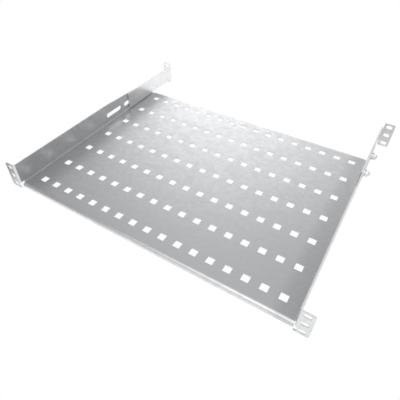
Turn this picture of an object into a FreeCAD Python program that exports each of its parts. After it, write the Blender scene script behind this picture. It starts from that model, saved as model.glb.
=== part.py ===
import FreeCAD
import Part
import Sketcher
import math
import os

# Cantilever rack shelf, one rack unit high, for a 19-inch rack with front and rear rails.
#
# Frame: +X to the right, +Y to the rear of the rack, +Z up, in millimetres.
# X = 0 is the middle of the rack, Y = 0 the plane where the front ears bear on the front rails,
# Z = 0 the middle of the height of the ears, which is the middle of the rack unit.

os.makedirs("parts", exist_ok=True)
doc = FreeCAD.newDocument("cantilever_rack_shelf")

# ---------------------------------------------------------------------------------------------
# Driving dimensions: alias, value, meaning
# ---------------------------------------------------------------------------------------------
DIMENSIONS = [
    ("ear_to_ear_width", 482.6, "outer edge of the left ears to outer edge of the right ears"),
    ("ear_reach", 16.8, "outer face of a side wall to the outer edge of its ear"),
    ("ear_height", 43.6, "height of every ear, just under one rack unit"),
    ("ear_slots", 3, "slots in each ear"),
    ("ear_slot_pitch", 15.875, "height between neighbouring ear slots"),
    ("ear_slot_inset", 8.75, "middle of the ear slots to the outer edge of the ear"),
    ("ear_slot_height", 6.8, "opening of an ear slot, for an M6 screw"),
    ("ear_slot_length", 10.0, "length of an ear slot over its round ends"),
    ("ear_corner", 3.0, "corner radius of the ears"),
    ("ear_foot_height", 2.5, "height of the foot of a front ear, below its notch"),
    ("sheet", 1.5, "thickness of the tray"),
    ("bend_radius", 2.0, "inside radius of the folds between deck, walls and front ears"),
    ("deck_height", 7.3, "top of the deck above the lower edge of the ears"),
    ("tray_depth", 352.0, "front face of the front ears to the rear edge of the tray"),
    ("lip_setback", 2.0, "face of the front lip behind the plane of the front rails"),
    ("lip_drop", 7.0, "height of the front and rear lips"),
    ("lip_radius", 3.5, "inside radius of the folds of the lips"),
    ("front_lip_gap", 1.0, "free gap between an end of the front lip and the side wall"),
    ("rear_lip_gap", 6.0, "free gap between an end of the rear lip and the side wall"),
    ("taper_start", 205.0, "where the side walls begin to taper, behind the front rails"),
    ("taper_drop", 6.5, "how much lower the side walls are at their rear end"),
    ("vent_side", 10.5, "side of the square deck holes"),
    ("vent_column_pitch", 25.0, "deck holes across, centre to centre"),
    ("vent_row_pitch", 50.0, "deck holes front to back, centre to centre"),
    ("vent_first_row", 28.0, "first row of deck holes behind the front rails"),
    ("vent_side_margin", 20.0, "least distance from a side wall to the middle of a deck hole"),
    ("vent_rear_margin", 12.0, "least distance from the rear fold to the middle of a deck hole"),
    ("wall_slots", 3, "adjustment slots in each side wall"),
    ("wall_slot_pitch", 50.0, "adjustment slots, centre to centre"),
    ("wall_slot_length", 40.0, "length of an adjustment slot over its round ends"),
    ("wall_slot_opening", 8.0, "opening of an adjustment slot"),
    ("wall_slot_height", 14.8, "middle of the adjustment slots above the deck"),
    ("wall_slot_margin", 6.3, "rearmost adjustment slot to the rear edge of the tray"),
    ("bracket_sheet", 2.0, "thickness of the rear brackets"),
    ("bracket_bend_radius", 1.0, "inside radius of the fold between arm and rear ear"),
    ("arm_lead", 23.5, "front end of an arm to its front stud"),
    ("arm_tail", 76.5, "rear stud to the rear face of the rear ear"),
    ("arm_lift", 0.3, "lower edge of an arm above the top of the fold beside the deck"),
    ("arm_height", 30.0, "height of an arm along most of its length"),
    ("arm_slope_length", 35.0, "where the top of an arm begins to fall, before its rear face"),
    ("arm_slope_drop", 5.0, "how much lower the top of an arm is at the fold of the ear"),
    ("arm_corner", 2.0, "corner radius at the front end of an arm"),
    ("stud_diameter", 6.0, "M6 stud"),
    ("stud_length", 12.0, "inner face of the arm to the tip of a stud"),
    ("stud_head_diameter", 8.2, "pressed head of a stud, flush in the arm"),
    ("stud_head_depth", 1.2, "depth of the pressed head"),
    ("stud_chamfer", 0.8, "chamfer at the tip of a stud"),
    ("washer_diameter", 12.0, "outside of a plain washer"),
    ("washer_bore", 6.4, "hole of a plain washer"),
    ("washer_thickness", 1.6, "thickness of a plain washer"),
    ("nut_across_flats", 10.0, "spanner size of a nut"),
    ("nut_thickness", 5.0, "thickness of a nut"),
    ("thread_play", 0.05, "radial play between nut and stud"),
]

sheet = doc.addObject("Spreadsheet::Sheet", "Size")
for row, (alias, value, meaning) in enumerate(DIMENSIONS, start=1):
    sheet.set(f"A{row}", alias)
    sheet.set(f"B{row}", str(value))
    sheet.set(f"C{row}", meaning)
    sheet.setAlias(f"B{row}", alias)
doc.recompute()

# ---------------------------------------------------------------------------------------------
# Places that several pieces share, as expressions of the driving dimensions
# ---------------------------------------------------------------------------------------------
EAR_EDGE = "(Size.ear_to_ear_width / 2)"
EAR_SLOT = f"({EAR_EDGE} - Size.ear_slot_inset)"
WALL_OUTSIDE = f"({EAR_EDGE} - Size.ear_reach)"
WALL_INSIDE = f"({WALL_OUTSIDE} - Size.sheet)"
TRAY_FRONT = "(-Size.sheet)"
TRAY_REAR = "(Size.tray_depth - Size.sheet)"
EAR_FOOT = "(-Size.ear_height / 2)"
EAR_TOP = "(Size.ear_height / 2)"
EAR_FOOT_TOP = f"({EAR_FOOT} + Size.ear_foot_height)"
DECK_TOP = f"({EAR_FOOT} + Size.deck_height)"
WALL_FOOT = f"({DECK_TOP} + Size.bend_radius)"
WALL_TOP = EAR_TOP
LIP_OUTER_RADIUS = "(Size.lip_radius + Size.sheet)"
LIP_CENTRE_HEIGHT = f"({DECK_TOP} - {LIP_OUTER_RADIUS})"
LIP_FOOT = f"({DECK_TOP} - Size.lip_drop)"
DECK_FRONT = f"(Size.lip_setback + {LIP_OUTER_RADIUS})"
DECK_REAR = f"({TRAY_REAR} - {LIP_OUTER_RADIUS})"
VENT_COLUMNS = f"(floor(2 * ({WALL_INSIDE} - Size.vent_side_margin) / Size.vent_column_pitch) + 1)"
VENT_ROOM = f"({DECK_REAR} - Size.vent_first_row - Size.vent_rear_margin)"
VENT_ROWS = f"(floor({VENT_ROOM} / Size.vent_row_pitch) + 1)"
SLOT_REACH = "((Size.wall_slot_length - Size.wall_slot_opening) / 2)"
LAST_SLOT = f"({TRAY_REAR} - Size.wall_slot_margin - Size.wall_slot_length / 2)"
SLOT_LEVEL = f"({DECK_TOP} + Size.wall_slot_height)"
REAR_STUD = f"({LAST_SLOT} + {SLOT_REACH})"
FRONT_STUD = f"({REAR_STUD} - Size.wall_slot_pitch)"
ARM_INSIDE = f"({WALL_INSIDE} - Size.bracket_sheet)"
ARM_FRONT = f"({FRONT_STUD} - Size.arm_lead)"
ARM_FOOT = f"({WALL_FOOT} + Size.arm_lift)"
ARM_TOP = f"({ARM_FOOT} + Size.arm_height)"
ARM_FOLD_TOP = f"({ARM_TOP} - Size.arm_slope_drop)"
REAR_FACE = f"({REAR_STUD} + Size.arm_tail)"
ARM_FOLD = f"({REAR_FACE} - Size.bracket_bend_radius - Size.bracket_sheet)"
FIRST_EAR_SLOT = "(-(Size.ear_slots - 1) / 2 * Size.ear_slot_pitch)"

SAME_PLACE = 0.01  # two lengths this close are one place, in millimetres
SAME_DIRECTION = 1e-6  # largest departure of a cosine from 1 for edges that run alike


def value(expression):
    """Number that an expression of the driving dimensions has now."""
    result = sheet.evalExpression(expression)
    return float(getattr(result, "Value", result))


# ---------------------------------------------------------------------------------------------
# Sketches
# ---------------------------------------------------------------------------------------------
def origin_item(body, role):
    """Origin plane or axis of a body, by its role."""
    return next(item for item in body.Origin.OriginFeatures if item.Role == role)


def new_sketch(body, name, plane, offset="0"):
    """Sketch on an origin plane of a body, moved along the plane's normal by an expression."""
    sketch = body.newObject("Sketcher::SketchObject", name)
    sketch.AttachmentSupport = (origin_item(body, plane), "")
    sketch.MapMode = "FlatFace"
    sketch.setExpression("AttachmentOffset.Base.z", offset)
    return sketch


def hold_point(sketch, geometry, point, across, up):
    """Tie a point of a sketch to the sketch's origin by two expressions."""
    for kind, expression in (("DistanceX", across), ("DistanceY", up)):
        index = sketch.addConstraint(
            Sketcher.Constraint(kind, -1, 1, geometry, point, value(expression)))
        sketch.setExpression(f"Constraints[{index}]", expression)


def hold_radius(sketch, geometry, expression):
    """Tie the radius of an arc or circle to an expression."""
    index = sketch.addConstraint(Sketcher.Constraint("Radius", geometry, value(expression)))
    sketch.setExpression(f"Constraints[{index}]", expression)


def draw_outline(sketch, corners):
    """Closed outline with straight sides, whose corners are pairs of expressions."""
    points = [FreeCAD.Vector(value(across), value(up), 0) for across, up in corners]
    lines = []
    for start, end in zip(points, points[1:] + points[:1]):
        lines.append(sketch.addGeometry(Part.LineSegment(start, end)))
    for line, following in zip(lines, lines[1:] + lines[:1]):
        sketch.addConstraint(Sketcher.Constraint("Coincident", line, 2, following, 1))
    for line, (across, up) in zip(lines, corners):
        hold_point(sketch, line, 1, across, up)


def draw_box(sketch, left, low, right, high):
    """Rectangle between four expressions."""
    draw_outline(sketch, [(left, low), (right, low), (right, high), (left, high)])


def draw_circle(sketch, across, up, radius):
    """Circle whose centre and radius are expressions."""
    centre = FreeCAD.Vector(value(across), value(up), 0)
    circle = sketch.addGeometry(Part.Circle(centre, FreeCAD.Vector(0, 0, 1), value(radius)))
    hold_point(sketch, circle, 3, across, up)
    hold_radius(sketch, circle, radius)


def draw_slot(sketch, across, up, length, opening):
    """Level slot with round ends, centred on a point."""
    reach = f"(({length}) - ({opening})) / 2"
    radius = f"({opening}) / 2"
    left = f"{across} - {reach}"
    right = f"{across} + {reach}"
    high = FreeCAD.Vector(0, value(radius), 0)
    left_centre = FreeCAD.Vector(value(left), value(up), 0)
    right_centre = FreeCAD.Vector(value(right), value(up), 0)
    axis = FreeCAD.Vector(0, 0, 1)
    left_end = sketch.addGeometry(Part.ArcOfCircle(
        Part.Circle(left_centre, axis, high.y), math.pi / 2, 3 * math.pi / 2))
    low_side = sketch.addGeometry(Part.LineSegment(left_centre - high, right_centre - high))
    right_end = sketch.addGeometry(Part.ArcOfCircle(
        Part.Circle(right_centre, axis, high.y), -math.pi / 2, math.pi / 2))
    high_side = sketch.addGeometry(Part.LineSegment(right_centre + high, left_centre + high))
    sketch.addConstraint([
        Sketcher.Constraint("Tangent", left_end, 2, low_side, 1),
        Sketcher.Constraint("Tangent", low_side, 2, right_end, 1),
        Sketcher.Constraint("Tangent", right_end, 2, high_side, 1),
        Sketcher.Constraint("Tangent", high_side, 2, left_end, 1),
        Sketcher.Constraint("Equal", left_end, right_end),
    ])
    hold_point(sketch, left_end, 3, left, up)
    hold_point(sketch, right_end, 3, right, up)
    hold_radius(sketch, left_end, radius)


def draw_lip(sketch, deck_end, direction):
    """Section of a sheet that leaves the deck at deck_end and folds down.

    direction is -1 for a lip in front of the deck and +1 for one behind it.
    """
    sign = f"{direction} * "
    centre_y = value(deck_end)
    centre_z = value(LIP_CENTRE_HEIGHT)
    centre = FreeCAD.Vector(centre_y, centre_z, 0)
    axis = FreeCAD.Vector(0, 0, 1)
    start, end = (math.pi / 2, math.pi) if direction < 0 else (0, math.pi / 2)
    top, side = (1, 2) if direction < 0 else (2, 1)
    arcs = []
    for radius in (LIP_OUTER_RADIUS, "Size.lip_radius"):
        circle = Part.Circle(centre, axis, value(radius))
        arc = sketch.addGeometry(Part.ArcOfCircle(circle, start, end))
        hold_point(sketch, arc, 3, deck_end, LIP_CENTRE_HEIGHT)
        hold_radius(sketch, arc, radius)
        arcs.append(arc)
    outer, inner = arcs
    outer_y = f"{deck_end} + {sign}{LIP_OUTER_RADIUS}"
    inner_y = f"{deck_end} + {sign}Size.lip_radius"
    low = value(LIP_FOOT)
    outer_top = FreeCAD.Vector(value(outer_y), centre_z, 0)
    outer_foot = FreeCAD.Vector(value(outer_y), low, 0)
    inner_foot = FreeCAD.Vector(value(inner_y), low, 0)
    inner_top = FreeCAD.Vector(value(inner_y), centre_z, 0)
    deck_top = FreeCAD.Vector(centre_y, value(DECK_TOP), 0)
    deck_under = FreeCAD.Vector(centre_y, centre_z + value("Size.lip_radius"), 0)
    face = sketch.addGeometry(Part.LineSegment(outer_top, outer_foot))
    foot = sketch.addGeometry(Part.LineSegment(outer_foot, inner_foot))
    back = sketch.addGeometry(Part.LineSegment(inner_foot, inner_top))
    joint = sketch.addGeometry(Part.LineSegment(deck_under, deck_top))
    sketch.addConstraint([
        Sketcher.Constraint("Coincident", outer, side, face, 1),
        Sketcher.Constraint("Coincident", face, 2, foot, 1),
        Sketcher.Constraint("Coincident", foot, 2, back, 1),
        Sketcher.Constraint("Coincident", back, 2, inner, side),
        Sketcher.Constraint("Coincident", inner, top, joint, 1),
        Sketcher.Constraint("Coincident", joint, 2, outer, top),
        Sketcher.Constraint("Vertical", joint),
        Sketcher.Constraint("Vertical", face),
        Sketcher.Constraint("Vertical", back),
        Sketcher.Constraint("Horizontal", outer, 3, outer, side),
        Sketcher.Constraint("Horizontal", inner, 3, inner, side),
        Sketcher.Constraint("Vertical", outer, 3, outer, top),
        Sketcher.Constraint("Horizontal", foot),
    ])
    index = sketch.addConstraint(Sketcher.Constraint("DistanceY", -1, 1, foot, 1, low))
    sketch.setExpression(f"Constraints[{index}]", LIP_FOOT)


# ---------------------------------------------------------------------------------------------
# Features
# ---------------------------------------------------------------------------------------------
def pad(body, sketch, length, reverse=False, symmetric=False):
    """Add a sketch's outline drawn out to a length."""
    feature = body.newObject("PartDesign::Pad", sketch.Name + "_pad")
    feature.Profile = sketch
    feature.setExpression("Length", length)
    feature.Reversed = reverse
    if symmetric:
        feature.SideType = "Symmetric"
    doc.recompute()
    return feature


def cut(body, sketch, depth=None, reverse=False, symmetric=False):
    """Remove a sketch's outline, to a depth or right through, and prove that it took material."""
    before = body.Shape.Volume
    feature = body.newObject("PartDesign::Pocket", sketch.Name + "_cut")
    feature.Profile = sketch
    feature.Reversed = reverse
    if symmetric:
        feature.SideType = "Symmetric"
    if depth is None:
        feature.Type = "ThroughAll"
    else:
        feature.setExpression("Length", depth)
    doc.recompute()
    if body.Shape.Volume >= before:
        raise RuntimeError(f"{feature.Name} removes nothing")
    return feature


def repeat(body, feature, sketch, steps):
    """Pattern of a feature along the axes of its sketch.

    steps lists (axis, pitch, count) for one or two directions; the axis is H_Axis or V_Axis.
    """
    before = body.Shape.Volume
    pattern = body.newObject("PartDesign::LinearPattern", feature.Name + "_pattern")
    pattern.Originals = [feature]
    for suffix, (axis, pitch, count) in zip(("", "2"), steps):
        setattr(pattern, "Direction" + suffix, (sketch, [axis]))
        setattr(pattern, "Mode" + suffix, "Extent")
        pattern.setExpression("Length" + suffix, f"{pitch} * ({count} - 1)")
        pattern.setExpression("Occurrences" + suffix, count)
    body.Tip = pattern
    doc.recompute()
    if body.Shape.Volume >= before:
        raise RuntimeError(f"{pattern.Name} removes nothing")
    return pattern


def straight_edges(body, direction, accept):
    """Names of the straight edges along a direction whose middle point is accepted."""
    names = []
    for number, edge in enumerate(body.Shape.Edges, start=1):
        if not isinstance(edge.Curve, Part.Line):
            continue
        if abs(abs(edge.Curve.Direction.dot(direction)) - 1) > SAME_DIRECTION:
            continue
        middle = edge.CenterOfMass
        if accept(middle):
            names.append(f"Edge{number}")
    return names


def close_to(a, b):
    """Whether two lengths name the same place."""
    return abs(a - b) < SAME_PLACE


def round_edges(body, name, names, radius):
    """Fillet of some edges of a body's newest feature."""
    if not names:
        raise RuntimeError(f"{name} finds no edge")
    base = body.Tip
    fillet = body.newObject("PartDesign::Fillet", name)
    fillet.Base = (base, names)
    fillet.setExpression("Radius", radius)
    doc.recompute()
    return fillet


ALONG_X = FreeCAD.Vector(1, 0, 0)
ALONG_Y = FreeCAD.Vector(0, 1, 0)
ALONG_Z = FreeCAD.Vector(0, 0, 1)


# ---------------------------------------------------------------------------------------------
# Tray: deck, side walls, front ears and lips folded from one sheet
# ---------------------------------------------------------------------------------------------
def make_tray():
    body = doc.addObject("PartDesign::Body", "tray")

    channel = new_sketch(body, "channel", "XZ_Plane", f"-({TRAY_FRONT})")
    draw_outline(channel, [
        (f"-{WALL_OUTSIDE}", f"{DECK_TOP} - Size.sheet"),
        (WALL_OUTSIDE, f"{DECK_TOP} - Size.sheet"),
        (WALL_OUTSIDE, WALL_TOP),
        (WALL_INSIDE, WALL_TOP),
        (WALL_INSIDE, DECK_TOP),
        (f"-{WALL_INSIDE}", DECK_TOP),
        (f"-{WALL_INSIDE}", WALL_TOP),
        (f"-{WALL_OUTSIDE}", WALL_TOP),
    ])
    pad(body, channel, "Size.tray_depth", reverse=True)
    outside = value(WALL_OUTSIDE)
    inside = value(WALL_INSIDE)
    deck_top = value(DECK_TOP)
    outer_folds = straight_edges(body, ALONG_Y, lambda p: (
        close_to(abs(p.x), outside) and p.z < deck_top))
    round_edges(body, "wall_folds_outside", outer_folds, "Size.bend_radius + Size.sheet")
    inner_folds = straight_edges(body, ALONG_Y, lambda p: (
        close_to(abs(p.x), inside) and close_to(p.z, deck_top)))
    round_edges(body, "wall_folds_inside", inner_folds, "Size.bend_radius")

    # The deck stops short of both ends of the walls, and the walls stand free there.
    relief = new_sketch(body, "end_reliefs", "XY_Plane", WALL_FOOT)
    for near, far in ((TRAY_FRONT, DECK_FRONT), (DECK_REAR, TRAY_REAR)):
        draw_box(relief, f"-{WALL_OUTSIDE}", near, WALL_OUTSIDE, far)
    cut(body, relief)

    front_lip = new_sketch(body, "front_lip", "YZ_Plane")
    draw_lip(front_lip, DECK_FRONT, -1)
    pad(body, front_lip, f"2 * ({WALL_INSIDE} - Size.front_lip_gap)", symmetric=True)
    rear_lip = new_sketch(body, "rear_lip", "YZ_Plane")
    draw_lip(rear_lip, DECK_REAR, 1)
    pad(body, rear_lip, f"2 * ({WALL_INSIDE} - Size.rear_lip_gap)", symmetric=True)

    # Front ears: a notch frees the foot of each from the fold.
    ears = new_sketch(body, "front_ears", "XZ_Plane", f"-({TRAY_FRONT})")
    notch_end = f"({WALL_OUTSIDE} + Size.bend_radius)"
    for side in ("", "-"):
        draw_outline(ears, [
            (f"{side}{WALL_INSIDE}", WALL_FOOT),
            (f"{side}{notch_end}", WALL_FOOT),
            (f"{side}{notch_end}", EAR_FOOT_TOP),
            (f"{side}{WALL_INSIDE}", EAR_FOOT_TOP),
            (f"{side}{WALL_INSIDE}", EAR_FOOT),
            (f"{side}{EAR_EDGE}", EAR_FOOT),
            (f"{side}{EAR_EDGE}", EAR_TOP),
            (f"{side}{WALL_INSIDE}", EAR_TOP),
        ])
    pad(body, ears, "Size.sheet", reverse=True)
    front = value(TRAY_FRONT)
    foot = value(WALL_FOOT)
    outer_bends = straight_edges(body, ALONG_Z, lambda p: (
        close_to(abs(p.x), inside) and close_to(p.y, front) and p.z > foot))
    round_edges(body, "ear_folds_outside", outer_bends, "Size.bend_radius + Size.sheet")
    inner_bends = straight_edges(body, ALONG_Z, lambda p: (
        close_to(abs(p.x), outside) and close_to(p.y, 0) and p.z > foot))
    round_edges(body, "ear_folds_inside", inner_bends, "Size.bend_radius")
    edge = value(EAR_EDGE)
    corners = straight_edges(body, ALONG_Y, lambda p: close_to(abs(p.x), edge))
    round_edges(body, "ear_corners", corners, "Size.ear_corner")

    ear_slots = new_sketch(body, "front_ear_slots", "XZ_Plane", f"-({TRAY_FRONT})")
    for side in ("", "-"):
        draw_slot(ear_slots, f"{side}{EAR_SLOT}", FIRST_EAR_SLOT,
                  "Size.ear_slot_length", "Size.ear_slot_height")
    ear_slot_cut = cut(body, ear_slots, "Size.sheet")
    repeat(body, ear_slot_cut, ear_slots, [("V_Axis", "Size.ear_slot_pitch", "Size.ear_slots")])

    # The walls taper to the rear and carry the slots in which the rear brackets are set.
    taper = new_sketch(body, "wall_taper", "YZ_Plane")
    draw_outline(taper, [
        ("Size.taper_start", WALL_TOP),
        (TRAY_REAR, f"{WALL_TOP} - Size.taper_drop"),
        (TRAY_REAR, WALL_TOP),
    ])
    cut(body, taper, "Size.ear_to_ear_width", symmetric=True)
    slots = new_sketch(body, "adjustment_slots", "YZ_Plane")
    draw_slot(slots, f"({LAST_SLOT} - (Size.wall_slots - 1) * Size.wall_slot_pitch)", SLOT_LEVEL,
              "Size.wall_slot_length", "Size.wall_slot_opening")
    slot_cut = cut(body, slots, "Size.ear_to_ear_width", symmetric=True)
    repeat(body, slot_cut, slots, [("H_Axis", "Size.wall_slot_pitch", "Size.wall_slots")])

    vent = new_sketch(body, "vents", "XY_Plane", DECK_TOP)
    vent_x = f"(-({VENT_COLUMNS} - 1) / 2 * Size.vent_column_pitch)"
    half = "Size.vent_side / 2"
    draw_box(vent, f"{vent_x} - {half}", f"Size.vent_first_row - {half}",
             f"{vent_x} + {half}", f"Size.vent_first_row + {half}")
    vent_cut = cut(body, vent, "Size.sheet")
    repeat(body, vent_cut, vent, [
        ("H_Axis", "Size.vent_column_pitch", VENT_COLUMNS),
        ("V_Axis", "Size.vent_row_pitch", VENT_ROWS),
    ])
    return body


# ---------------------------------------------------------------------------------------------
# Rear brackets: a strip inside the side wall with an ear folded outwards at its rear end
# ---------------------------------------------------------------------------------------------
def make_rear_bracket(name, side):
    """side is +1 for the right bracket and -1 for the left one."""
    body = doc.addObject("PartDesign::Body", name)
    sign = "" if side > 0 else "-"

    arm_plane = ARM_INSIDE if side > 0 else f"-{WALL_INSIDE}"
    arm = new_sketch(body, name + "_arm", "YZ_Plane", arm_plane)
    draw_outline(arm, [
        (ARM_FRONT, ARM_FOOT),
        (REAR_FACE, ARM_FOOT),
        (REAR_FACE, ARM_FOLD_TOP),
        (ARM_FOLD, ARM_FOLD_TOP),
        (f"{REAR_FACE} - Size.arm_slope_length", ARM_TOP),
        (ARM_FRONT, ARM_TOP),
    ])
    pad(body, arm, "Size.bracket_sheet")

    ear = new_sketch(body, name + "_ear", "XZ_Plane", f"-{REAR_FACE}")
    free_edge = f"{sign}({WALL_INSIDE} + Size.bracket_bend_radius)"
    draw_outline(ear, [
        (f"{sign}{ARM_INSIDE}", ARM_FOOT),
        (free_edge, ARM_FOOT),
        (free_edge, EAR_FOOT),
        (f"{sign}{EAR_EDGE}", EAR_FOOT),
        (f"{sign}{EAR_EDGE}", EAR_TOP),
        (free_edge, EAR_TOP),
        (free_edge, ARM_FOLD_TOP),
        (f"{sign}{ARM_INSIDE}", ARM_FOLD_TOP),
    ])
    pad(body, ear, "Size.bracket_sheet")

    inside = value(ARM_INSIDE)
    outside = value(WALL_INSIDE)
    rear = value(REAR_FACE)
    ear_front = rear - value("Size.bracket_sheet")
    outer_bend = straight_edges(body, ALONG_Z, lambda p: (
        close_to(abs(p.x), inside) and close_to(p.y, rear)))
    round_edges(body, name + "_fold_outside", outer_bend,
                "Size.bracket_bend_radius + Size.bracket_sheet")
    inner_bend = straight_edges(body, ALONG_Z, lambda p: (
        close_to(abs(p.x), outside) and close_to(p.y, ear_front)))
    round_edges(body, name + "_fold_inside", inner_bend, "Size.bracket_bend_radius")
    edge = value(EAR_EDGE)
    ear_corners = straight_edges(body, ALONG_Y, lambda p: close_to(abs(p.x), edge))
    round_edges(body, name + "_ear_corners", ear_corners, "Size.ear_corner")
    arm_front = value(ARM_FRONT)
    arm_corners = straight_edges(body, ALONG_X, lambda p: close_to(p.y, arm_front))
    round_edges(body, name + "_arm_corners", arm_corners, "Size.arm_corner")

    slot = new_sketch(body, name + "_ear_slots", "XZ_Plane", f"-{REAR_FACE}")
    draw_slot(slot, f"{sign}{EAR_SLOT}", FIRST_EAR_SLOT,
              "Size.ear_slot_length", "Size.ear_slot_height")
    slot_cut = cut(body, slot, "Size.bracket_sheet", reverse=True)
    repeat(body, slot_cut, slot, [("V_Axis", "Size.ear_slot_pitch", "Size.ear_slots")])

    # Each stud hole has a seat on the inner face, which takes the pressed head.
    inner_plane = f"{sign}{ARM_INSIDE}"
    into_arm = side > 0
    for part, diameter, depth in (
        ("hole", "Size.stud_diameter", "Size.bracket_sheet"),
        ("seat", "Size.stud_head_diameter", "Size.stud_head_depth"),
    ):
        sketch = new_sketch(body, f"{name}_stud_{part}", "YZ_Plane", inner_plane)
        for along in (FRONT_STUD, REAR_STUD):
            draw_circle(sketch, along, SLOT_LEVEL, f"{diameter} / 2")
        cut(body, sketch, depth, reverse=into_arm)
    return body


# ---------------------------------------------------------------------------------------------
# Fasteners. Each is turned about its own Z axis and then laid along X, pointing outwards.
# ---------------------------------------------------------------------------------------------
def turn(body, name, corners):
    """Solid of revolution about the body's Z axis from an outline of (radius, height) pairs."""
    profile = new_sketch(body, name, "XZ_Plane")
    draw_outline(profile, corners)
    revolution = body.newObject("PartDesign::Revolution", name + "_revolution")
    revolution.Profile = profile
    revolution.ReferenceAxis = (profile, ["V_Axis"])
    revolution.Angle = 360
    doc.recompute()


def place(body, side, start, along):
    """Lay a fastener along X: start is its distance from the middle, along its Y position."""
    tilt = FreeCAD.Rotation(ALONG_Y, 90 * side)
    body.Placement = FreeCAD.Placement(FreeCAD.Vector(0, 0, 0), tilt)
    body.setExpression("Placement.Base.x", f"{side} * {start}")
    body.setExpression("Placement.Base.y", along)
    body.setExpression("Placement.Base.z", SLOT_LEVEL)
    doc.recompute()


def make_stud(name, side, along):
    """Press-in stud whose head lies flush with the inner face of the arm."""
    body = doc.addObject("PartDesign::Body", name)
    turn(body, name + "_profile", [
        ("0", "0"),
        ("Size.stud_head_diameter / 2", "0"),
        ("Size.stud_head_diameter / 2", "Size.stud_head_depth"),
        ("Size.stud_diameter / 2", "Size.stud_head_depth"),
        ("Size.stud_diameter / 2", "Size.stud_length - Size.stud_chamfer"),
        ("Size.stud_diameter / 2 - Size.stud_chamfer", "Size.stud_length"),
        ("0", "Size.stud_length"),
    ])
    place(body, side, ARM_INSIDE, along)
    return body


def make_washer(name, side, along):
    """Plain washer against the outer face of the side wall."""
    body = doc.addObject("PartDesign::Body", name)
    ring = new_sketch(body, name + "_ring", "XY_Plane")
    draw_circle(ring, "0", "0", "Size.washer_diameter / 2")
    draw_circle(ring, "0", "0", "Size.washer_bore / 2")
    pad(body, ring, "Size.washer_thickness")
    place(body, side, WALL_OUTSIDE, along)
    return body


def make_nut(name, side, along):
    """Hexagon nut, bearing on the washer."""
    body = doc.addObject("PartDesign::Body", name)
    hexagon = new_sketch(body, name + "_hexagon", "XY_Plane")
    flat = "Size.nut_across_flats / 2"
    point = "Size.nut_across_flats / sqrt(3)"
    draw_outline(hexagon, [
        (point, "0"),
        (f"{point} / 2", flat),
        (f"-{point} / 2", flat),
        (f"-{point}", "0"),
        (f"-{point} / 2", f"-{flat}"),
        (f"{point} / 2", f"-{flat}"),
    ])
    draw_circle(hexagon, "0", "0", "Size.stud_diameter / 2 + Size.thread_play")
    pad(body, hexagon, "Size.nut_thickness")
    place(body, side, f"({WALL_OUTSIDE} + Size.washer_thickness)", along)
    return body


# ---------------------------------------------------------------------------------------------
# The shelf
# ---------------------------------------------------------------------------------------------
subparts = [make_tray()]
for side_name, side_sign in (("left", -1), ("right", 1)):
    subparts.append(make_rear_bracket(f"rear_bracket_{side_name}", side_sign))
    for place_name, along_wall in (("front", FRONT_STUD), ("rear", REAR_STUD)):
        tag = f"{side_name}_{place_name}"
        subparts.append(make_stud(f"stud_{tag}", side_sign, along_wall))
        subparts.append(make_washer(f"washer_{tag}", side_sign, along_wall))
        subparts.append(make_nut(f"nut_{tag}", side_sign, along_wall))

doc.recompute()
for item in doc.Objects:
    if "Invalid" in item.State or "Error" in item.State:
        raise RuntimeError(f"{item.Name} did not compute: {item.State}")
for subpart in subparts:
    shape = subpart.Shape
    if shape.isNull() or not shape.isValid() or len(shape.Solids) != 1:
        raise RuntimeError(f"{subpart.Label} is not one valid solid")
for subpart in subparts:
    subpart.Shape.exportStep(f"parts/{subpart.Label}.step")
print(f"{len(subparts)} sub-parts written")
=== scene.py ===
import bmesh
import bpy
import math
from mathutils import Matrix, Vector


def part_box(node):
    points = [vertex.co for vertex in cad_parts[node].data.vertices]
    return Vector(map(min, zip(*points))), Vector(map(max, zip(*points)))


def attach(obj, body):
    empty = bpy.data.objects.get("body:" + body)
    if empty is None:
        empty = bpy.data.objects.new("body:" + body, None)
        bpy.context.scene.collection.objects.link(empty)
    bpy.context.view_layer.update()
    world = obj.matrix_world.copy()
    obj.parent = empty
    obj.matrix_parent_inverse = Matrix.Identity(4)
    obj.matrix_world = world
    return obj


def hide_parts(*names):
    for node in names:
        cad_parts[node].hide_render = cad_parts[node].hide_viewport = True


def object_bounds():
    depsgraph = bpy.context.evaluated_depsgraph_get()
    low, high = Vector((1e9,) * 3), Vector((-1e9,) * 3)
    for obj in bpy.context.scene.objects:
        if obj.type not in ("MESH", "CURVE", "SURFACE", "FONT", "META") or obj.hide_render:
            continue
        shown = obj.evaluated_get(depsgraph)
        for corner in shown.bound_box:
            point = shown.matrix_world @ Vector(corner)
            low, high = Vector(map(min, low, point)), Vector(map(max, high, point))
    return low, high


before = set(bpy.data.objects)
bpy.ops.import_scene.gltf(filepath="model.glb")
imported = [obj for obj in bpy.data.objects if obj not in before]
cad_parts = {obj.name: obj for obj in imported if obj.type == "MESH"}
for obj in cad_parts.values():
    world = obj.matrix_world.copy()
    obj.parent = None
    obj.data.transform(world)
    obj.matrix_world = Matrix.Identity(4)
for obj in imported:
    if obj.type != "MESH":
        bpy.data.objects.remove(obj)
CAD_BOX = [list(corner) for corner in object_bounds()]
MM = 0.001
WHITE = (1.0, 1.0, 1.0)
SIDES = ("left", "right")
PLACES = ("front", "rear")

# Sheet, in the frame's own axes.
DECK_TOP = -14.5 * MM
WALL = 224.5 * MM
ARM_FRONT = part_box("rear_bracket_left")[0][1]
STRIP_START = 190 * MM
STRIP_FULL = 204 * MM
SOFT_STEP = 1.0 * MM

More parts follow.
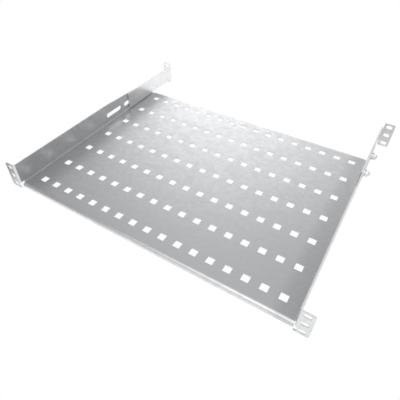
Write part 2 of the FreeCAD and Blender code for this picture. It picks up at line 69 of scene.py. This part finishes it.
# Grain of the zinc coat: scales in features per metre, the share of each kind, and the part of
# the grain over which tone and roughness change.
SPANGLE_SCALE = 170.0
SPANGLE_SMOOTHNESS = 0.6
VEIL_SCALE = 34.0
VEIL_DETAIL = 5.0
VEIL_ROUGHNESS = 0.6
GRIT_SCALE = 900.0
GRIT_DETAIL = 2.0
SPANGLE_SHARE = 0.45
GRIT_SHARE = 0.2
DARK_AT = 0.22
LIGHT_AT = 0.78
ROUGH_RANGE = 0.05
GRAIN_LOW = 0.2
GRAIN_HIGH = 0.8
BUMP_STRENGTH = 0.06
BUMP_DEPTH = 0.4 * MM

# Cut faces that look up, paler partly for their cut finish and partly as a painted highlight, the
# bare cut front ends of the arms, and the strip along the right fold that is darker in the
# photograph, darkened here as painted shade. What made that strip isn't known.
LOOKS_UP_FROM = 0.35
LOOKS_UP_FULLY = 0.75
# Colour of cut faces that look up: their cut finish, made paler as a painted highlight.
CUT_EDGE_PAINTED_HIGHLIGHT = (0.90, 0.90, 0.90)
CUT_METALLIC = 0.35
BARE_STEEL = (0.52, 0.52, 0.53)
BARE_FROM = 0.1 * MM
BARE_TO = 0.5 * MM
# Painted shade: the colour that darkens the strip along the right fold.
PAINTED_SHADE_STRIP = (0.87, 0.87, 0.87)

# Nothing of the tray is bare, so its cut front end is set a metre in front of it.
NO_CUT_END = -1.0

# Plating of the fasteners.
HAZE_SCALE = 420.0
HAZE_DETAIL = 4.0
HAZE_DARK = 0.86
HAZE_FROM = 0.3
HAZE_TO = 0.7
HAZE_ROUGHER = 0.08
HAZE_SMOOTHER = 0.04


# ---------------------------------------------------------------------------------------------
# Materials
# ---------------------------------------------------------------------------------------------
def node(tree, kind, **settings):
    """New node of a kind, with its properties set."""
    made = tree.nodes.new(kind)
    for key, setting in settings.items():
        setattr(made, key, setting)
    return made


def ramp(tree, source, stops):
    """Colour that runs through the stops, each a place from 0 to 1 and a tone."""
    made = node(tree, "ShaderNodeValToRGB")
    elements = made.color_ramp.elements
    while len(elements) < len(stops):
        elements.new(0.5)
    for element, (place, tone) in zip(elements, stops):
        element.position = place
        element.color = (*tone, 1.0)
    tree.links.new(source, made.inputs["Fac"])
    return made.outputs["Color"]


def spread(tree, source, low, high, start=0.0, end=1.0):
    """Value that goes from low to high while the source goes from start to end."""
    made = node(tree, "ShaderNodeMapRange")
    made.inputs["From Min"].default_value = start
    made.inputs["From Max"].default_value = end
    made.inputs["To Min"].default_value = low
    made.inputs["To Max"].default_value = high
    tree.links.new(source, made.inputs["Value"])
    return made.outputs["Result"]


def edge_finish_and_highlight_masks(tree, above):
    """Masks of cut faces that look up, for finish and painted highlight, and of sheet above a height
    or outside the walls.

    The first is kept to the sheet that the second marks.
    """
    coords = node(tree, "ShaderNodeTexCoord")
    normal = node(tree, "ShaderNodeSeparateXYZ")
    tree.links.new(coords.outputs["Normal"], normal.inputs["Vector"])
    place = node(tree, "ShaderNodeSeparateXYZ")
    tree.links.new(coords.outputs["Object"], place.inputs["Vector"])
    distance = node(tree, "ShaderNodeMath", operation="ABSOLUTE")
    tree.links.new(place.outputs["X"], distance.inputs[0])
    high = spread(tree, place.outputs["Z"], 0.0, 1.0, above, above + SOFT_STEP)
    outside = spread(tree, distance.outputs["Value"], 0.0, 1.0, WALL, WALL + SOFT_STEP)
    standing = node(tree, "ShaderNodeMath", operation="MAXIMUM")
    tree.links.new(high, standing.inputs[0])
    tree.links.new(outside, standing.inputs[1])
    looks_up = spread(tree, normal.outputs["Z"], 0.0, 1.0, LOOKS_UP_FROM, LOOKS_UP_FULLY)
    edge_finish_and_highlight = node(tree, "ShaderNodeMath", operation="MULTIPLY")
    tree.links.new(looks_up, edge_finish_and_highlight.inputs[0])
    tree.links.new(standing.outputs["Value"], edge_finish_and_highlight.inputs[1])
    return edge_finish_and_highlight.outputs["Value"], standing.outputs["Value"]


def zinc_grain(tree, place):
    """Small soft crystals, a cloudy veil and a fine grit, mixed into one value."""
    crystals = node(tree, "ShaderNodeTexVoronoi", feature="SMOOTH_F1")
    crystals.inputs["Scale"].default_value = SPANGLE_SCALE
    crystals.inputs["Smoothness"].default_value = SPANGLE_SMOOTHNESS
    tree.links.new(place, crystals.inputs["Vector"])
    crystal_tone = node(tree, "ShaderNodeSeparateColor")
    tree.links.new(crystals.outputs["Color"], crystal_tone.inputs["Color"])

    veil = node(tree, "ShaderNodeTexNoise")
    veil.inputs["Scale"].default_value = VEIL_SCALE
    veil.inputs["Detail"].default_value = VEIL_DETAIL
    veil.inputs["Roughness"].default_value = VEIL_ROUGHNESS
    tree.links.new(place, veil.inputs["Vector"])

    grit = node(tree, "ShaderNodeTexNoise")
    grit.inputs["Scale"].default_value = GRIT_SCALE
    grit.inputs["Detail"].default_value = GRIT_DETAIL
    tree.links.new(place, grit.inputs["Vector"])

    cloudy = node(tree, "ShaderNodeMix", data_type="FLOAT")
    cloudy.inputs["Factor"].default_value = SPANGLE_SHARE
    tree.links.new(veil.outputs["Fac"], cloudy.inputs["A"])
    tree.links.new(crystal_tone.outputs["Red"], cloudy.inputs["B"])
    grain = node(tree, "ShaderNodeMix", data_type="FLOAT")
    grain.inputs["Factor"].default_value = GRIT_SHARE
    tree.links.new(cloudy.outputs["Result"], grain.inputs["A"])
    tree.links.new(grit.outputs["Fac"], grain.inputs["B"])
    return grain.outputs["Result"]


def galvanised_sheet(name, light, dark, rough, above, front_end):
    """Zinc coated sheet with pale cut edges, partly a painted highlight, a strip of painted shade
    and a bare cut front end.

    Sheet that stands higher than above has the pale edges and no painted shade strip. front_end is
    where the sheet was cut off in front, along Y, and what lies at it is bare.
    """
    material = bpy.data.materials.new(name)
    material.use_nodes = True
    tree = material.node_tree
    shader = tree.nodes["Principled BSDF"]
    place = node(tree, "ShaderNodeTexCoord").outputs["Object"]
    grain = zinc_grain(tree, place)
    edge_finish_and_highlight, standing = edge_finish_and_highlight_masks(tree, above)

    # Upward cut faces take the pale cut colour, partly their finish and partly a painted highlight.
    coat = node(tree, "ShaderNodeMix", data_type="RGBA")
    coat.inputs["B"].default_value = (*CUT_EDGE_PAINTED_HIGHLIGHT, 1.0)
    tree.links.new(edge_finish_and_highlight, coat.inputs["Factor"])
    tree.links.new(ramp(tree, grain, [(DARK_AT, dark), (LIGHT_AT, light)]), coat.inputs["A"])

    along = node(tree, "ShaderNodeSeparateXYZ")
    tree.links.new(place, along.inputs["Vector"])
    # Painted shade along the right fold, kept off sheet that stands high.
    strip = node(tree, "ShaderNodeMath", operation="MULTIPLY")
    tree.links.new(spread(tree, along.outputs["X"], 0.0, 1.0, STRIP_START, STRIP_FULL),
                   strip.inputs[0])
    tree.links.new(spread(tree, standing, 1.0, 0.0), strip.inputs[1])
    darkened = node(tree, "ShaderNodeMix", data_type="RGBA", blend_type="MULTIPLY")
    darkened.inputs["B"].default_value = (*PAINTED_SHADE_STRIP, 1.0)
    tree.links.new(strip.outputs["Value"], darkened.inputs["Factor"])
    tree.links.new(coat.outputs["Result"], darkened.inputs["A"])

    coated = spread(tree, along.outputs["Y"], 0.0, 1.0,
                    front_end + BARE_FROM, front_end + BARE_TO)
    colour = node(tree, "ShaderNodeMix", data_type="RGBA")
    colour.inputs["A"].default_value = (*BARE_STEEL, 1.0)
    tree.links.new(coated, colour.inputs["Factor"])
    tree.links.new(darkened.outputs["Result"], colour.inputs["B"])
    tree.links.new(colour.outputs["Result"], shader.inputs["Base Color"])

    tree.links.new(spread(tree, edge_finish_and_highlight, 1.0, CUT_METALLIC), shader.inputs["Metallic"])
    tree.links.new(spread(tree, grain, rough + ROUGH_RANGE, rough - ROUGH_RANGE,
                          GRAIN_LOW, GRAIN_HIGH),
                   shader.inputs["Roughness"])
    bump = node(tree, "ShaderNodeBump")
    bump.inputs["Strength"].default_value = BUMP_STRENGTH
    bump.inputs["Distance"].default_value = BUMP_DEPTH
    tree.links.new(grain, bump.inputs["Height"])
    tree.links.new(bump.outputs["Normal"], shader.inputs["Normal"])
    return material


def plated(name, light, rough):
    """Bright zinc plating with a faint cloudy haze."""
    material = bpy.data.materials.new(name)
    material.use_nodes = True
    tree = material.node_tree
    shader = tree.nodes["Principled BSDF"]
    shader.inputs["Metallic"].default_value = 1.0
    haze = node(tree, "ShaderNodeTexNoise")
    haze.inputs["Scale"].default_value = HAZE_SCALE
    haze.inputs["Detail"].default_value = HAZE_DETAIL
    tree.links.new(node(tree, "ShaderNodeTexCoord").outputs["Object"], haze.inputs["Vector"])
    dark = tuple(HAZE_DARK * part for part in light)
    tree.links.new(ramp(tree, haze.outputs["Fac"], [(HAZE_FROM, dark), (HAZE_TO, light)]),
                   shader.inputs["Base Color"])
    tree.links.new(spread(tree, haze.outputs["Fac"], rough + HAZE_ROUGHER, rough - HAZE_SMOOTHER,
                          HAZE_FROM, HAZE_TO),
                   shader.inputs["Roughness"])
    return material


TRAY_STEEL = galvanised_sheet("galvanised_sheet", light=(0.76, 0.765, 0.78),
                              dark=(0.66, 0.665, 0.675), rough=0.36,
                              above=DECK_TOP + 2 * MM, front_end=NO_CUT_END)
ARM_STEEL = galvanised_sheet("galvanised_bracket", light=(0.80, 0.805, 0.815),
                             dark=(0.72, 0.725, 0.735), rough=0.33,
                             above=DECK_TOP, front_end=ARM_FRONT)
ZINC = plated("zinc_plating", light=(0.92, 0.925, 0.935), rough=0.40)


# ---------------------------------------------------------------------------------------------
# CAD pieces: materials and small edge breaks
# ---------------------------------------------------------------------------------------------
TRAY_EDGE = 0.15 * MM
SMALL_EDGE = 0.2 * MM
EDGE_SEGMENTS = 2
EDGE_ANGLE = math.radians(50)


def dress(name, material, edge):
    """Gives a CAD piece its material, and breaks its sharp edges with a modifier."""
    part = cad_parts[name]
    for holder in part.material_slots:
        holder.material = material
    bevel = part.modifiers.new("edge_break", "BEVEL")
    bevel.width = edge
    bevel.segments = EDGE_SEGMENTS
    bevel.limit_method = "ANGLE"
    bevel.angle_limit = EDGE_ANGLE
    bevel.harden_normals = True


dress("tray", TRAY_STEEL, TRAY_EDGE)
for side in SIDES:
    dress(f"rear_bracket_{side}", ARM_STEEL, SMALL_EDGE)
    for place in PLACES:
        dress(f"washer_{side}_{place}", ZINC, SMALL_EDGE)


# ---------------------------------------------------------------------------------------------
# Fasteners: press-in studs with rolled threads, and chamfered hexagon nuts
# ---------------------------------------------------------------------------------------------
THREAD_PITCH = 1.0 * MM
THREAD_DEPTH = 0.45 * MM
RINGS_PER_TURN = 5
STUD_HEAD_DEPTH = 1.2 * MM
STUD_HEAD_EDGE = 0.1 * MM
STUD_PLAIN = 2.2 * MM
STUD_CHAMFER = 0.8 * MM
STUD_RADIUS = 3.0 * MM
STUD_STEPS = 30
NUT_BORE = 3.05 * MM
NUT_LEAD = 0.5 * MM
NUT_FACE = 0.95
NUT_CHAMFER = math.tan(math.radians(30))
NUT_STEPS = 48
# A nut stands with two of its corners up and down.
HEX_TURN = math.pi / 6
WELD = 0.001 * MM
SHARP_ANGLE = math.radians(32)


def turned(name, rings, steps, centre, start, outwards):
    """Piece built of rings round a line along X.

    Each ring is a rule that gives a radius and a distance along the line for an angle. A ring
    of no radius closes an end, and otherwise the last ring joins the first.
    """
    mesh = bmesh.new()
    rows = []
    for ring in rings:
        row = []
        for step in range(steps):
            angle = 2 * math.pi * step / steps
            radius, along = ring(angle)
            row.append(mesh.verts.new((start + outwards * along,
                                       centre[0] + radius * math.cos(angle),
                                       centre[1] + radius * math.sin(angle))))
        rows.append(row)
    closed = rings[0](0.0)[0] > 0.0
    pairs = list(zip(rows, rows[1:])) + ([(rows[-1], rows[0])] if closed else [])
    for first, second in pairs:
        for step in range(steps):
            after = (step + 1) % steps
            mesh.faces.new((first[step], first[after], second[after], second[step]))
    bmesh.ops.remove_doubles(mesh, verts=mesh.verts, dist=WELD)
    bmesh.ops.recalc_face_normals(mesh, faces=mesh.faces)
    data = bpy.data.meshes.new(name)
    mesh.to_mesh(data)
    mesh.free()
    data.shade_smooth()
    data.set_sharp_from_angle(angle=SHARP_ANGLE)
    data.materials.append(ZINC)
    piece = bpy.data.objects.new(name, data)
    bpy.context.collection.objects.link(piece)
    return piece


def circle(radius, along):
    """Ring of one radius."""
    return lambda angle: (radius, along)


def thread(along, tip):
    """Ring of a rolled thread, kept inside the chamfer at the tip."""
    def ring(angle):
        turn = (along / THREAD_PITCH - angle / (2 * math.pi)) % 1.0
        crest = STUD_RADIUS - THREAD_DEPTH * abs(2.0 * turn - 1.0)
        return min(crest, STUD_RADIUS - STUD_CHAMFER + tip - along), along
    return ring


def stud_rings(head_radius, tip):
    """Rings of a stud, from its flush head along the plain part and the thread to its tip."""
    rings = [circle(0.0, 0.0), circle(head_radius - STUD_HEAD_EDGE, 0.0),
             circle(head_radius, STUD_HEAD_EDGE), circle(head_radius, STUD_HEAD_DEPTH),
             circle(STUD_RADIUS, STUD_HEAD_DEPTH), circle(STUD_RADIUS, STUD_PLAIN)]
    count = round((tip - STUD_PLAIN) / THREAD_PITCH * RINGS_PER_TURN)
    rings += [thread(STUD_PLAIN + (tip - STUD_PLAIN) * (index + 1) / count, tip)
              for index in range(count)]
    return rings + [circle(0.0, tip)]


def hexagon(flat, thickness, inner):
    """Side of a nut, cut by the chamfer cone of its outer or inner face."""
    def ring(angle):
        reach = flat / math.cos((angle + HEX_TURN) % (math.pi / 3) - math.pi / 6)
        lost = max(0.0, reach - NUT_FACE * flat) * NUT_CHAMFER
        return reach, (lost if inner else thickness - lost)
    return ring


def nut_rings(flat, thickness):
    """Rings of a nut, from its bore over the inner face, the sides and the outer face."""
    face = NUT_FACE * flat
    return [circle(NUT_BORE, NUT_LEAD), circle(NUT_BORE + NUT_LEAD, 0.0), circle(face, 0.0),
            hexagon(flat, thickness, True), hexagon(flat, thickness, False),
            circle(face, thickness), circle(NUT_BORE + NUT_LEAD, thickness),
            circle(NUT_BORE, thickness - NUT_LEAD)]


def fastener(kind, node_name, body, rings_of, steps):
    """Takes the place of a CAD fastener, fills its box and rides with the bracket."""
    low_corner, high_corner = (Vector(corner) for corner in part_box(node_name))
    middle = (low_corner + high_corner) / 2
    outwards = 1 if middle.x > 0 else -1
    start = low_corner.x if outwards > 0 else high_corner.x
    piece = turned(f"{kind}_{node_name}", rings_of(high_corner - low_corner), steps,
                   (middle.y, middle.z), start, outwards)
    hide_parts(node_name)
    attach(piece, body)


for side in SIDES:
    for place in PLACES:
        fastener("threaded", f"stud_{side}_{place}", f"{side}_bracket",
                 lambda size: stud_rings(size.y / 2, size.x), STUD_STEPS)
        fastener("hexagon", f"nut_{side}_{place}", f"{side}_bracket",
                 lambda size: nut_rings(min(size.y, size.z) / 2, size.x), NUT_STEPS)


# ---------------------------------------------------------------------------------------------
# Studio: a floor and a surround that are white to the camera and grey to the metal
# ---------------------------------------------------------------------------------------------
FLOOR_SIZE = 40.0
FLOOR_MIDDLE = 0.2
FLOOR_GAP = 0.2 * MM

# Round patches on the floor: where the middle is, the radius up to which the inner tone holds,
# the radius from which the outer tone holds, and the two tones.
# Painted shade on the floor beyond the left front ear, seen only in the metal's reflections.
PAINTED_SHADE_BEYOND_EAR = ((-0.36, -0.22, 0.0), 0.08, 0.14, 0.32, 0.92)
# Painted shadow on the floor under the deck, seen only in reflections and bounced light.
PAINTED_SHADOW_UNDER_DECK = ((0.24, 0.16, 0.0), 0.03, 0.10, 0.72, 1.0)
GLOW = ((-0.15, 0.25, 0.0), 0.12, 0.45, 0.48, 0.42)

# Even light from all round, and soft round panels: the direction a panel stands in, the cosine
# at its edge and its strength. The strengths began as a least-squares fit to tones of the
# photograph. 1.45, 0.35 and 0.80 are still that fit's, rounded. ROOM and the other strengths
# were changed or added since. The last panel takes light away, which no real lamp does.
ROOM = 0.32
PANELS = [
    ((-0.40, 0.85, 0.30), 0.90, 1.45),
    ((-0.40, 0.85, 0.30), 0.70, 0.35),
    ((0.50, 0.80, 0.30), 0.80, 0.55),
    ((0.00, -0.10, 1.00), 0.80, 0.80),
    ((0.05, -0.62, 0.77), 0.80, 1.10),
    ((0.20, -0.90, 0.35), 0.60, 0.40),
    ((0.75, 0.45, 0.45), 0.80, -0.10),
]


def white_to_camera(tree, seen_by_others):
    """Shader that the camera sees as plain white and everything else as seen_by_others."""
    plain = node(tree, "ShaderNodeEmission")
    plain.inputs["Color"].default_value = (*WHITE, 1.0)
    path = node(tree, "ShaderNodeLightPath")
    choose = node(tree, "ShaderNodeMixShader")
    tree.links.new(path.outputs["Is Camera Ray"], choose.inputs["Fac"])
    tree.links.new(seen_by_others, choose.inputs[1])
    tree.links.new(plain.outputs["Emission"], choose.inputs[2])
    return choose.outputs["Shader"]


def near(tree, place, centre, inside, outside, tone_inside, tone_outside):
    """Value that changes with the distance from a point on the floor."""
    away = node(tree, "ShaderNodeVectorMath", operation="DISTANCE")
    away.inputs[1].default_value = centre
    tree.links.new(place, away.inputs[0])
    return spread(tree, away.outputs["Value"], tone_inside, tone_outside, inside, outside)


def combined(tree, operation, first, second):
    """Result of a sum or a product of two values."""
    made = node(tree, "ShaderNodeMath", operation=operation)
    tree.links.new(first, made.inputs[0])
    tree.links.new(second, made.inputs[1])
    return made.outputs["Value"]


def white_paper():
    """Matt paper that glows faintly, with two darker patches of painted shade."""
    paper = bpy.data.materials.new("white_paper")
    paper.use_nodes = True
    tree = paper.node_tree
    tree.nodes.clear()
    matte = node(tree, "ShaderNodeBsdfPrincipled")
    matte.inputs["Roughness"].default_value = 1.0
    matte.inputs["Specular IOR Level"].default_value = 0.0
    matte.inputs["Emission Color"].default_value = (*WHITE, 1.0)
    place = node(tree, "ShaderNodeTexCoord").outputs["Object"]

    # Both patches of painted shade darken the paper's colour and its glow.
    grey = combined(tree, "MULTIPLY", near(tree, place, *PAINTED_SHADE_BEYOND_EAR),
                    near(tree, place, *PAINTED_SHADOW_UNDER_DECK))
    paper_tone = node(tree, "ShaderNodeCombineColor")
    for part in ("Red", "Green", "Blue"):
        tree.links.new(grey, paper_tone.inputs[part])
    tree.links.new(paper_tone.outputs["Color"], matte.inputs["Base Color"])
    glow = combined(tree, "MULTIPLY", grey, near(tree, place, *GLOW))
    tree.links.new(glow, matte.inputs["Emission Strength"])
    sheet_out = node(tree, "ShaderNodeOutputMaterial")
    tree.links.new(white_to_camera(tree, matte.outputs["BSDF"]), sheet_out.inputs["Surface"])
    return paper


def panel_light(tree, direction, target, edge, strength):
    """Light of a soft round panel: strongest at its middle, nothing past its edge."""
    facing = node(tree, "ShaderNodeVectorMath", operation="DOT_PRODUCT")
    facing.inputs[1].default_value = Vector(target).normalized()
    tree.links.new(direction, facing.inputs[0])
    made = node(tree, "ShaderNodeMapRange")
    made.inputs["From Min"].default_value = edge
    made.inputs["To Max"].default_value = strength
    tree.links.new(facing.outputs["Value"], made.inputs["Value"])
    return made.outputs["Result"]


def tent():
    """Surround that lights the metal evenly and by its panels."""
    world = bpy.data.worlds.new("tent")
    world.use_nodes = True
    tree = world.node_tree
    tree.nodes.clear()
    direction = node(tree, "ShaderNodeTexCoord").outputs["Generated"]
    room = node(tree, "ShaderNodeValue")
    room.outputs[0].default_value = ROOM
    total = room.outputs[0]
    for target, edge, strength in PANELS:
        total = combined(tree, "ADD", total,
                         panel_light(tree, direction, target, edge, strength))
    lit = node(tree, "ShaderNodeBackground")
    lit.inputs["Color"].default_value = (*WHITE, 1.0)
    tree.links.new(total, lit.inputs["Strength"])
    sky_out = node(tree, "ShaderNodeOutputWorld")
    tree.links.new(white_to_camera(tree, lit.outputs["Background"]), sky_out.inputs["Surface"])
    return world


bpy.ops.mesh.primitive_plane_add(size=FLOOR_SIZE,
                                 location=(0.0, FLOOR_MIDDLE, CAD_BOX[0][2] - FLOOR_GAP))
floor = bpy.context.object
floor.name = "floor"
floor.data.materials.append(white_paper())

bpy.context.scene.world = tent()
bpy.context.scene.view_settings.view_transform = "Standard"
bpy.context.scene.view_settings.look = "None"


# ---------------------------------------------------------------------------------------------
# Camera: above the front right corner, looking down across the deck to the rear left
# ---------------------------------------------------------------------------------------------
# Solved from the places of the deck holes, taken to lie 25 mm apart across and 50 mm apart from
# row to row, together with points of the ears. SHIFT_Y was then trimmed by 0.001, so that the
# rendered holes lie on the photograph's.
LENS_MM = 34.313
SENSOR_MM = 36.0
SHIFT_X = 0.02172
SHIFT_Y = -0.0258
CLIP_START = 0.01
CAMERA_PLACE = (0.23624, -0.23711, 0.38108)
CAMERA_DEGREES = (47.438, -0.054, 31.883)

lens = bpy.data.cameras.new("camera")
lens.lens = LENS_MM
lens.sensor_width = SENSOR_MM
lens.shift_x = SHIFT_X
lens.shift_y = SHIFT_Y
lens.clip_start = CLIP_START
camera = bpy.data.objects.new("camera", lens)
camera.location = CAMERA_PLACE
camera.rotation_euler = [math.radians(angle) for angle in CAMERA_DEGREES]
bpy.context.collection.objects.link(camera)
bpy.context.scene.camera = camera
